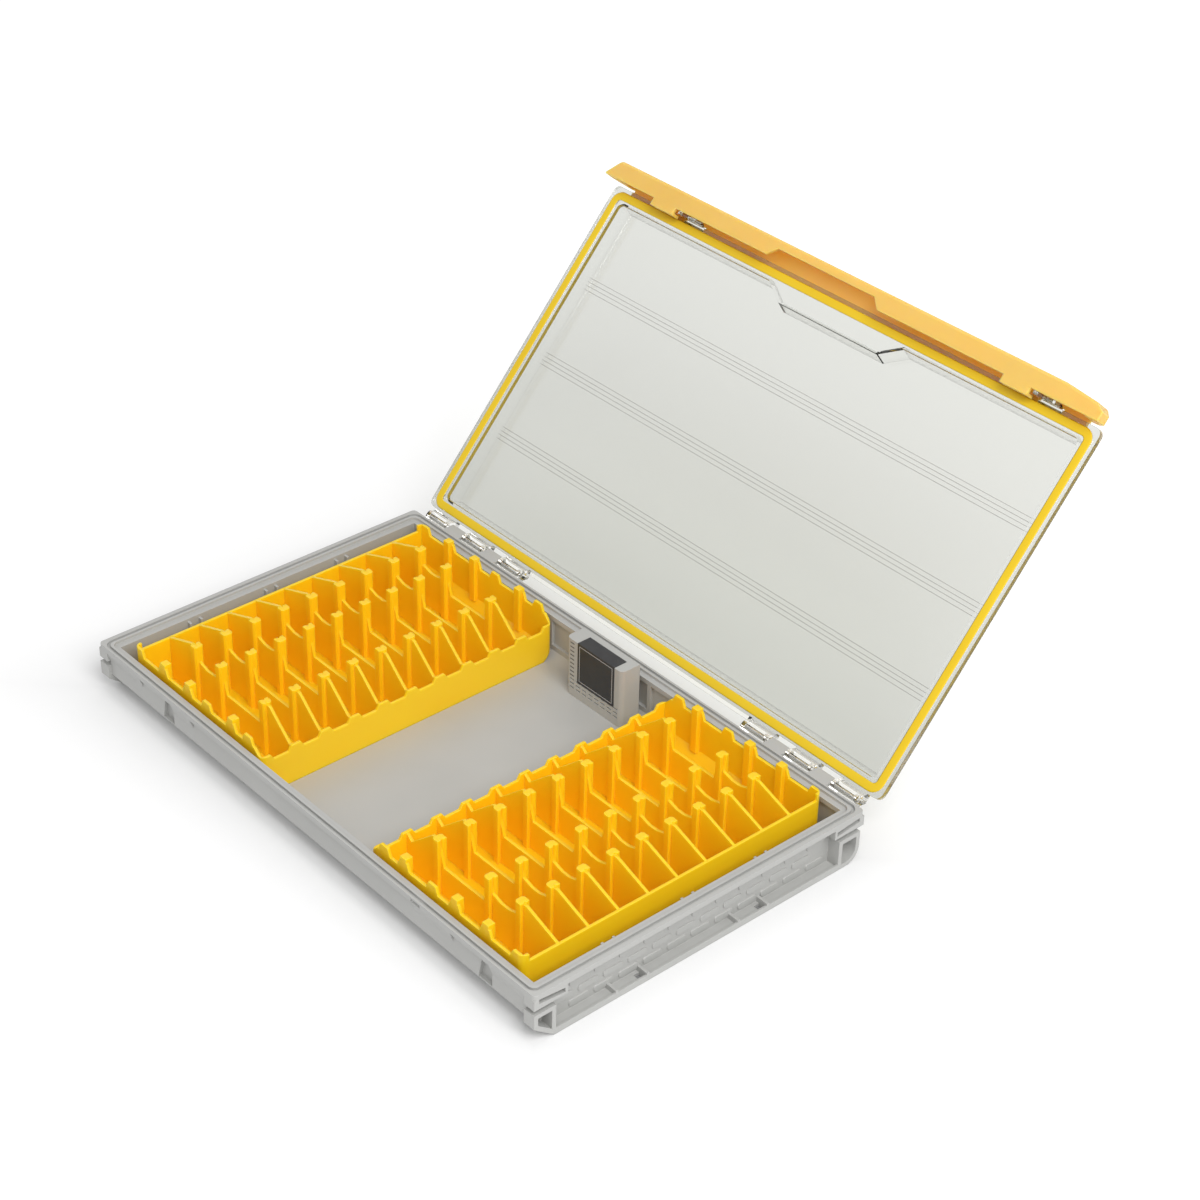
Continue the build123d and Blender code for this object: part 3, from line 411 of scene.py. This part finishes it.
def makeSteel():
    made = Finish("drawnSteel")
    stretched = made.node("ShaderNodeMapping", None, {
        "Vector": made.place, "Scale": pinFinish["streaks"]}).outputs[0]
    streak = made.noise(1.0, detail=2.0, vector=stretched)
    return made.finish({
        "Base Color": made.blend(streak, tone(*pinFinish["dark"]), tone(*pinFinish["bright"])),
        "Metallic": 1.0,
        "Roughness": (pinFinish["roughness"] + streak * pinFinish["streakGloss"]).inRange(),
        "Normal": made.bump(streak, pinFinish["streakDepth"], strength=0.5),
    })


steel = makeSteel()

# Fleece of the pouch

fleeceFinish = {
    "dark": (228, 228, 224),
    "bright": (246, 246, 243),
    "fibreScale": 2600.0,
    "fibreShare": 0.3,
    "fibreGloss": 0.1,
    "creaseScale": 90.0,
    "creaseDepth": 0.0004,
    "roughness": 0.85,
    "sheen": 0.2,
}


def makeFleece():
    made = Finish("pouchFleece")
    fibre = made.noise(fleeceFinish["fibreScale"], detail=4.0, roughness=0.7)
    crease = made.noise(fleeceFinish["creaseScale"], detail=2.0)
    height = fibre * fleeceFinish["fibreShare"] + crease
    return made.finish({
        "Base Color": made.blend(fibre, tone(*fleeceFinish["dark"]), tone(*fleeceFinish["bright"])),
        "Roughness": (fleeceFinish["roughness"] + fibre * fleeceFinish["fibreGloss"]).inRange(),
        "Normal": made.bump(height, fleeceFinish["creaseDepth"], strength=0.7),
        "Sheen Weight": fleeceFinish["sheen"],
    })


fleece = makeFleece()

# Label: bare film with a thin printed border on its front

labelFilm = {
    "ground": (30, 30, 32),
    "dust": (74, 74, 76),
    "border": (196, 197, 198),
    "borderInset": 0.0014,
    "borderWidth": 0.00035,
    "frontDepth": 0.00012,  # this much of the film counts as its front
    "dustScale": 1500.0,
    "dustLevel": 0.72,
    "dustShare": 0.25,
    "wrinkleScale": 160.0,
    "wrinkleDepth": 0.0001,
    "wrinkleGloss": 0.18,
    "roughness": 0.34,
    "coat": 0.15,
}


def makeLabelFilm():
    made = Finish("blackLabelFilm")
    low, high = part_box("holder_label")
    x, y, z = made.axes(made.place)

    def fromEdges(value, first, last):
        return (value - (first + last) / 2).size() * -1 + (last - first) / 2

    nearest = fromEdges(x, low[0], high[0]).combine("MINIMUM", fromEdges(z, low[2], high[2]))
    halfWidth = labelFilm["borderWidth"] / 2
    line = (nearest - labelFilm["borderInset"] - halfWidth).size().under(halfWidth)
    line = line * y.under(low[1] + labelFilm["frontDepth"])
    wrinkle = made.noise(labelFilm["wrinkleScale"], detail=2.0)
    dust = made.noise(labelFilm["dustScale"], detail=2.0).over(labelFilm["dustLevel"])
    base = made.blend(
        dust * labelFilm["dustShare"], tone(*labelFilm["ground"]), tone(*labelFilm["dust"]))
    return made.finish({
        "Base Color": made.blend(line, base, tone(*labelFilm["border"])),
        "Roughness": (labelFilm["roughness"] + wrinkle * labelFilm["wrinkleGloss"]).inRange(),
        "Normal": made.bump(wrinkle, labelFilm["wrinkleDepth"], strength=0.5),
        "Coat Weight": labelFilm["coat"],
    })


labelBlack = makeLabelFilm()

nodeFinishes = {
    "base_case": plastics["caseGreyPlastic"],
    "tray_left": plastics["trayYellowPlastic"],
    "tray_right": plastics["trayYellowPlastic"],
    "lid": clearLid,
    "lid_seal": plastics["sealYellowRubber"],
    "latch": plastics["latchAmberPlastic"],
    "desiccant_holder": plastics["holderGreyPlastic"],
    "holder_cover": plastics["holderGreyPlastic"],
    "desiccant_pack": fleece,
    "holder_label": labelBlack,
    "hinge_pin_left": steel,
    "hinge_pin_right": steel,
    "latch_pin_left": steel,
    "latch_pin_right": steel,
}
for nodeName, finish in nodeFinishes.items():
    nodes[nodeName].data.materials.clear()
    nodes[nodeName].data.materials.append(finish)
print("finishes given to the packed pieces")


# Rows of low pads on a face, for the case's end walls and the holder's front

def makePadPattern():
    # these sizes only fill the inputs; each piece gives its own
    made = Pattern("padRows", {
        "Columns": 11, "Rows": 3, "Pitch": 0.0153, "Row Pitch": 0.0061, "Stagger": 0.0,
        "Length": 0.012, "Width": 0.004, "Corner": 0.001,
        "Rise": 0.0003, "Sink": 0.0001, "Draft": 0.0001,
        "Clear Low": (0.0, 0.0, 0.0), "Clear High": (0.0, 0.0, 0.0),
        "Place": (0.0, 0.0, 0.0), "Turn": (0.0, 0.0, 0.0)})
    columns, rows = made.given("Columns"), made.given("Rows")
    grid = made.node("GeometryNodeMeshGrid", None, {
        "Size X": (columns - 1) * made.given("Pitch"),
        "Size Y": (rows - 1) * made.given("Row Pitch"),
        "Vertices X": columns, "Vertices Y": rows})
    row = made.term("GeometryNodeInputIndex", 0) % rows
    shift = (row % 2.0) * made.given("Stagger")
    moved = made.node("GeometryNodeSetPosition", None, {
        "Geometry": grid.outputs[0], "Offset": made.vector(shift, 0.0, 0.0)})
    # no pads between Clear Low and Clear High
    x, y = made.axes(made.node("GeometryNodeInputPosition").outputs[0])[:2]
    lowX, lowY = made.axes(made.entry.outputs["Clear Low"])[:2]
    highX, highY = made.axes(made.entry.outputs["Clear High"])[:2]
    inside = x.over(lowX) * x.under(highX) * y.over(lowY) * y.under(highY)
    kept = made.node("GeometryNodeDeleteGeometry", {"domain": "POINT"}, {
        "Geometry": moved.outputs[0], "Selection": inside.over(0.5)})
    # one pad, with rounded corners and walls that lean inwards
    outline = made.node("GeometryNodeCurvePrimitiveQuadrilateral", None, {
        "Width": made.given("Length"), "Height": made.given("Width")})
    eased = made.node("GeometryNodeFilletCurve", {"mode": "POLY"}, {
        "Curve": outline.outputs[0], "Radius": made.given("Corner"),
        "Limit Radius": True, "Count": 3})
    flat = made.node("GeometryNodeFillCurve", {"mode": "NGONS"}, {"Curve": eased.outputs[0]})
    sunk = made.node("GeometryNodeTransform", None, {
        "Geometry": flat.outputs[0], "Translation": made.vector(0.0, 0.0, -made.given("Sink"))})
    raised = made.node("GeometryNodeExtrudeMesh", {"mode": "FACES"}, {
        "Mesh": sunk.outputs[0], "Offset Scale": made.given("Rise") + made.given("Sink")})
    draft = -made.given("Draft")
    drafted = made.node("GeometryNodeSetPosition", None, {
        "Geometry": raised.outputs["Mesh"], "Selection": raised.outputs["Top"],
        "Offset": made.vector(x.sign() * draft, y.sign() * draft, 0.0)})
    closed = made.node("GeometryNodeJoinGeometry", None, {
        0: [sunk.outputs[0], drafted.outputs[0]]})
    placed = made.node("GeometryNodeInstanceOnPoints", None, {
        "Points": kept.outputs[0], "Instance": closed.outputs[0]})
    made.close(placed.outputs[0])
    return made


padPattern = makePadPattern()

wallPads = {
    "columns": 11,
    "rows": 3,
    "pitch": 0.0153,
    "rowPitch": 0.0061,
    "stagger": -0.0097,
    "length": 0.0122,
    "width": 0.0040,
    "corner": 0.0014,
    "rise": 0.0006,
    "draft": 0.00025,
    "middle": 0.0033,   # of the rows, from front to back
    "height": 0.0113,
    "wall": 0.1736,     # from the middle of the case to its end walls
}
quarterTurn = math.pi / 2  # stands the flat rows up against a wall
for side, name in ((1, "endWallPadsRight"), (-1, "endWallPadsLeft")):
    padPattern.make(name, {
        "Columns": wallPads["columns"], "Rows": wallPads["rows"],
        "Pitch": wallPads["pitch"], "Row Pitch": wallPads["rowPitch"],
        "Stagger": side * wallPads["stagger"],
        "Length": wallPads["length"], "Width": wallPads["width"], "Corner": wallPads["corner"],
        "Rise": wallPads["rise"], "Draft": wallPads["draft"],
        "Place": (side * wallPads["wall"], wallPads["middle"], wallPads["height"]),
        "Turn": (quarterTurn, 0.0, side * quarterTurn), "Finish": plastics["caseGreyPlastic"],
    }, "case", "case_grey")

# Dashes beside the holder's label, which go on upwards from the open slots below it: each is a low
# dark pad, the painted shade of a slot

holderVents = {
    "columns": 8,
    "rows": 9,
    "pitch": 0.005,
    "rowPitch": 0.0026,
    "length": 0.0034,
    "width": 0.0008,
    "corner": 0.0003,
    "lowestRow": 0.0158,
    "rise": 0.00004,
    "draft": 0.00002,
}


def makeHolderVents():
    low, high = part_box("desiccant_holder")
    labelLow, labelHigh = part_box("holder_label")
    middle = (low[0] + high[0]) / 2
    height = holderVents["lowestRow"] + (holderVents["rows"] - 1) * holderVents["rowPitch"] / 2
    reach = holderVents["length"] / 2
    # the label's stretch is cleared at every height
    padPattern.make("holderVentDashes", {
        "Columns": holderVents["columns"], "Rows": holderVents["rows"],
        "Pitch": holderVents["pitch"], "Row Pitch": holderVents["rowPitch"],
        "Length": holderVents["length"], "Width": holderVents["width"],
        "Corner": holderVents["corner"],
        "Rise": holderVents["rise"], "Draft": holderVents["draft"],
        "Clear Low": (labelLow[0] - middle - reach, -1.0, 0.0),
        "Clear High": (labelHigh[0] - middle + reach, 1.0, 0.0),
        "Place": (middle, low[1], height), "Turn": (quarterTurn, 0.0, 0.0),
        "Finish": plastics["ventShadowPlastic"],
    }, "case", "holder_grey")


makeHolderVents()

# Seal: a soft band with rounded shoulders, pressed into the lid's groove

sealBand = {
    "halfLength": 0.181,    # of the lid
    "halfDepth": 0.106,
    "endInset": 0.0050,     # from the lid's ends to the middle of the band
    "sideInset": 0.0036,
    "corner": 0.0046,
    "width": 0.0048,
    "height": 0.0020,
    "shoulder": 0.0007,
    "low": 0.0298,          # underside of the band on the closed lid
}


def makeBandPattern():
    # these sizes only fill the inputs; the seal gives its own
    made = Pattern("bandRing", {
        "Half X": 0.1, "Half Y": 0.1, "Corner": 0.005, "Band Width": 0.0048,
        "Band Height": 0.002, "Shoulder": 0.0007, "Level": 0.0,
        "Place": (0.0, 0.0, 0.0), "Turn": (0.0, 0.0, 0.0)})
    path = made.node("GeometryNodeCurvePrimitiveQuadrilateral", None, {
        "Width": 2.0 * made.given("Half X"), "Height": 2.0 * made.given("Half Y")})
    bent = made.node("GeometryNodeFilletCurve", {"mode": "POLY"}, {
        "Curve": path.outputs[0], "Radius": made.given("Corner"), "Count": 10})
    level = made.node("GeometryNodeTransform", None, {
        "Geometry": bent.outputs[0], "Translation": made.vector(0.0, 0.0, made.given("Level"))})
    upright = made.node("GeometryNodeSetCurveNormal", {"mode": "Z_UP"}, {
        "Curve": level.outputs[0]})
    section = made.node("GeometryNodeCurvePrimitiveQuadrilateral", None, {
        "Width": made.given("Band Width"), "Height": made.given("Band Height")})
    soft = made.node("GeometryNodeFilletCurve", {"mode": "POLY"}, {
        "Curve": section.outputs[0], "Radius": made.given("Shoulder"), "Count": 4})
    swept = made.node("GeometryNodeCurveToMesh", None, {
        "Curve": upright.outputs[0], "Profile Curve": soft.outputs[0]})
    made.close(swept.outputs[0])
    return made


def makeSeal():
    turn = Matrix.Rotation(-openAngle, 3, "X")
    place = hingePlace - turn @ hingePlace
    seal = makeBandPattern().make("lidSealBand", {
        "Half X": sealBand["halfLength"] - sealBand["endInset"],
        "Half Y": sealBand["halfDepth"] - sealBand["sideInset"],
        "Corner": sealBand["corner"], "Band Width": sealBand["width"],
        "Band Height": sealBand["height"], "Shoulder": sealBand["shoulder"],
        "Level": sealBand["low"] + sealBand["height"] / 2,
        "Place": tuple(place), "Turn": (-openAngle, 0.0, 0.0),
        "Finish": plastics["sealYellowRubber"],
    }, "lid", "seal_yellow")
    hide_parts("lid_seal")


makeSeal()

# Desiccant pouch: two crowned sheets that meet in a crimped rim

pouch = {
    "steps": 36,
    "rim": 0.09,
    "rimThickness": 0.0004,
    "margin": 0.0003,
    "swell": 9,                     # how steeply the crown rises behind the rim
    "sag": 0.25,                    # how much thinner it is at the top
    "grain": 0.00025,
    "grainWaves": (41, 17, 37, 13),
}


def makePouch():
    low, high = (Vector(corner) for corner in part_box("desiccant_pack"))
    low = low + Vector((1, 1, 0)) * pouch["margin"]
    high = high - Vector((1, 1, 1)) * pouch["margin"]
    middle = (low + high) / 2
    span = high - low
    steps = pouch["steps"]
    flatHalf = pouch["rimThickness"] / 2
    fullness = span[1] / 2 - flatHalf - pouch["grain"]
    waveA, waveB, waveC, waveD = pouch["grainWaves"]
    work = bmesh.new()

    def crown(u, v):
        reachU = max(0.0, 1 - abs(u) / (1 - pouch["rim"]))
        reachV = max(0.0, 1 - abs(v) / (1 - pouch["rim"]))
        dome = min(1.0, (reachU * reachV * pouch["swell"]) ** 0.5)
        beads = math.sin(u * waveA + v * waveB) * math.sin(v * waveC - u * waveD)
        sag = 1 - pouch["sag"] * (v + 1) / 2
        return flatHalf + fullness * dome * sag + beads * pouch["grain"] * dome

    spots = {}
    for side in (-1, 1):
        for i in range(steps + 1):
            for j in range(steps + 1):
                u, v = i / steps * 2 - 1, j / steps * 2 - 1
                onRim = i in (0, steps) or j in (0, steps)
                y = side * (flatHalf if onRim else crown(u, v))
                spots[side, i, j] = work.verts.new((
                    middle[0] + u * span[0] / 2, middle[1] + y, middle[2] + v * span[2] / 2))
        for i in range(steps):
            for j in range(steps):
                corners = ((i, j), (i + 1, j), (i + 1, j + 1), (i, j + 1))
                work.faces.new([spots[side, *corner] for corner in corners])
    ring = [(i, 0) for i in range(steps)] + [(steps, j) for j in range(steps)]
    ring += [(i, steps) for i in range(steps, 0, -1)] + [(0, j) for j in range(steps, 0, -1)]
    for here, there in zip(ring, ring[1:] + ring[:1]):
        work.faces.new([spots[-1, *here], spots[-1, *there], spots[1, *there], spots[1, *here]])
    bmesh.ops.recalc_face_normals(work, faces=work.faces)
    mesh = bpy.data.meshes.new("desiccantPouch")
    work.to_mesh(mesh)
    work.free()
    mesh.shade_smooth()
    mesh.materials.append(fleece)
    piece = bpy.data.objects.new("desiccantPouch", mesh)
    scene.collection.objects.link(piece)
    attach(piece, "case")
    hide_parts("desiccant_pack")
    print("made the desiccant pouch")


makePouch()

# Camera, where the photograph was taken from

cameraSetup = {
    "place": (0.8651, -0.68386, 0.84396),
    "azimuth": 48.207,
    "elevation": 33.787,
    "roll": 1.405,
    "lens": 80.062,
    "sensor": 36.0,
    "near": 0.01,
    "far": 20.0,
}


def makeCamera():
    azimuth, elevation, roll = (
        math.radians(cameraSetup[angle]) for angle in ("azimuth", "elevation", "roll"))
    right = Vector((math.cos(azimuth), math.sin(azimuth), 0))
    back = Vector((
        math.sin(azimuth) * math.cos(elevation), -math.cos(azimuth) * math.cos(elevation),
        math.sin(elevation)))
    up = back.cross(right)
    tiltedRight = right * math.cos(roll) + up * math.sin(roll)
    tiltedUp = up * math.cos(roll) - right * math.sin(roll)
    data = bpy.data.cameras.new("photoCamera")
    data.lens = cameraSetup["lens"]
    data.sensor_width = cameraSetup["sensor"]
    data.clip_start = cameraSetup["near"]
    data.clip_end = cameraSetup["far"]
    camera = bpy.data.objects.new("photoCamera", data)
    scene.collection.objects.link(camera)
    turn = Matrix((tiltedRight, tiltedUp, back)).transposed().to_4x4()
    camera.matrix_world = Matrix.Translation(cameraSetup["place"]) @ turn
    scene.camera = camera
    print("camera set")


makeCamera()
scene.view_settings.view_transform = "Standard"

# Studio: a white floor, one soft box and an even surround

studio = {
    "floorSize": 6.0,
    "floorDrop": 0.0002,    # the floor lies this far below the feet
    "floorTone": 0.82,
    "paperScale": 4.0,
    "paperTone": 1.01,
    "floorLift": 0.02,      # glow of the floor next to the box
    "farLift": 0.44,        # and away from it
    "farReach": 0.4,
    "throughLift": 0.2,     # glow of the floor behind the clear lid
    "boxHalfX": 0.181,
    "boxHalfY": 0.106,
    "underX": 0.1765,       # two strips of painted shadow on the floor under the end ledges
    "underWidth": 0.006,
    "underY": 0.08,
    "paintedShadowTone": 0.35,
    "surround": 0.62,
    "keyPlace": (1.25, -0.4, 1.5),
    "keyAim": (0, 0, 0.03),
    "keySize": 1.1,
    "keyPower": 27.0,
}


def makeFloor():
    half = studio["floorSize"] / 2
    corners = [(-half, -half), (half, -half), (half, half), (-half, half)]
    mesh = bpy.data.meshes.new("studioFloor")
    mesh.from_pydata([(*corner, -studio["floorDrop"]) for corner in corners], [], [(0, 1, 2, 3)])
    floor = bpy.data.objects.new("studioFloor", mesh)
    scene.collection.objects.link(floor)
    made = Finish("studioFloor")
    x, y = made.axes(made.place)[:2]
    # the floor is painted darker in two strips under the end ledges: a painted shadow
    beside = (x.size() - studio["underX"]).size().over(studio["underWidth"] / 2)
    beside = (beside + y.size().over(studio["underY"])).inRange()
    level = studio["floorTone"]
    plain, pale, dark = (
        (level * share, level * share, level * share, 1)
        for share in (1, studio["paperTone"], studio["paintedShadowTone"]))
    sheet = made.blend(made.noise(studio["paperScale"], detail=2.0), plain, pale)
    diffuse = made.node("ShaderNodeBsdfDiffuse", None, {"Color": made.blend(beside, dark, sheet)})
    # the paper grows brighter away from the box, so that the box keeps its near shadow
    beyond = (x.size() - studio["boxHalfX"]).combine("MAXIMUM", y.size() - studio["boxHalfY"])
    away = (beyond * (1 / studio["farReach"])).inRange().combine("POWER", 0.5)
    lift = studio["floorLift"] + away * (studio["farLift"] - studio["floorLift"])
    lift = lift.combine("MAXIMUM", made.rays("Transmission") * studio["throughLift"])
    seen = made.rays("Camera", "Glossy", "Transmission")
    glow = made.node("ShaderNodeEmission", None, {
        "Color": (1, 1, 1, 1), "Strength": seen * (lift * beside)})
    both = made.node("ShaderNodeAddShader", None, {0: diffuse.outputs[0], 1: glow.outputs[0]})
    made.node("ShaderNodeOutputMaterial", None, {"Surface": both.outputs[0]})
    mesh.materials.append(made.material)


def makeSoftBox():
    data = bpy.data.lights.new("keySoftBox", "AREA")
    data.shape = "SQUARE"
    data.size = studio["keySize"]
    data.energy = studio["keyPower"]
    lamp = bpy.data.objects.new("keySoftBox", data)
    scene.collection.objects.link(lamp)
    aim = Vector(studio["keyAim"]) - Vector(studio["keyPlace"])
    turn = aim.to_track_quat("-Z", "Y").to_matrix().to_4x4()
    lamp.matrix_world = Matrix.Translation(studio["keyPlace"]) @ turn


def makeSurround():
    world = bpy.data.worlds.new("studioSurround")
    world.use_nodes = True
    scene.world = world
    board = Board(world.node_tree)
    board.tree.nodes.clear()
    seen = board.rays("Camera", "Glossy", "Transmission")
    strength = studio["surround"] + seen * (1.0 - studio["surround"])
    glow = board.node("ShaderNodeBackground", None, {
        "Color": (1, 1, 1, 1), "Strength": strength})
    board.node("ShaderNodeOutputWorld", None, {"Surface": glow.outputs[0]})


makeFloor()
makeSurround()
makeSoftBox()
print("studio set")
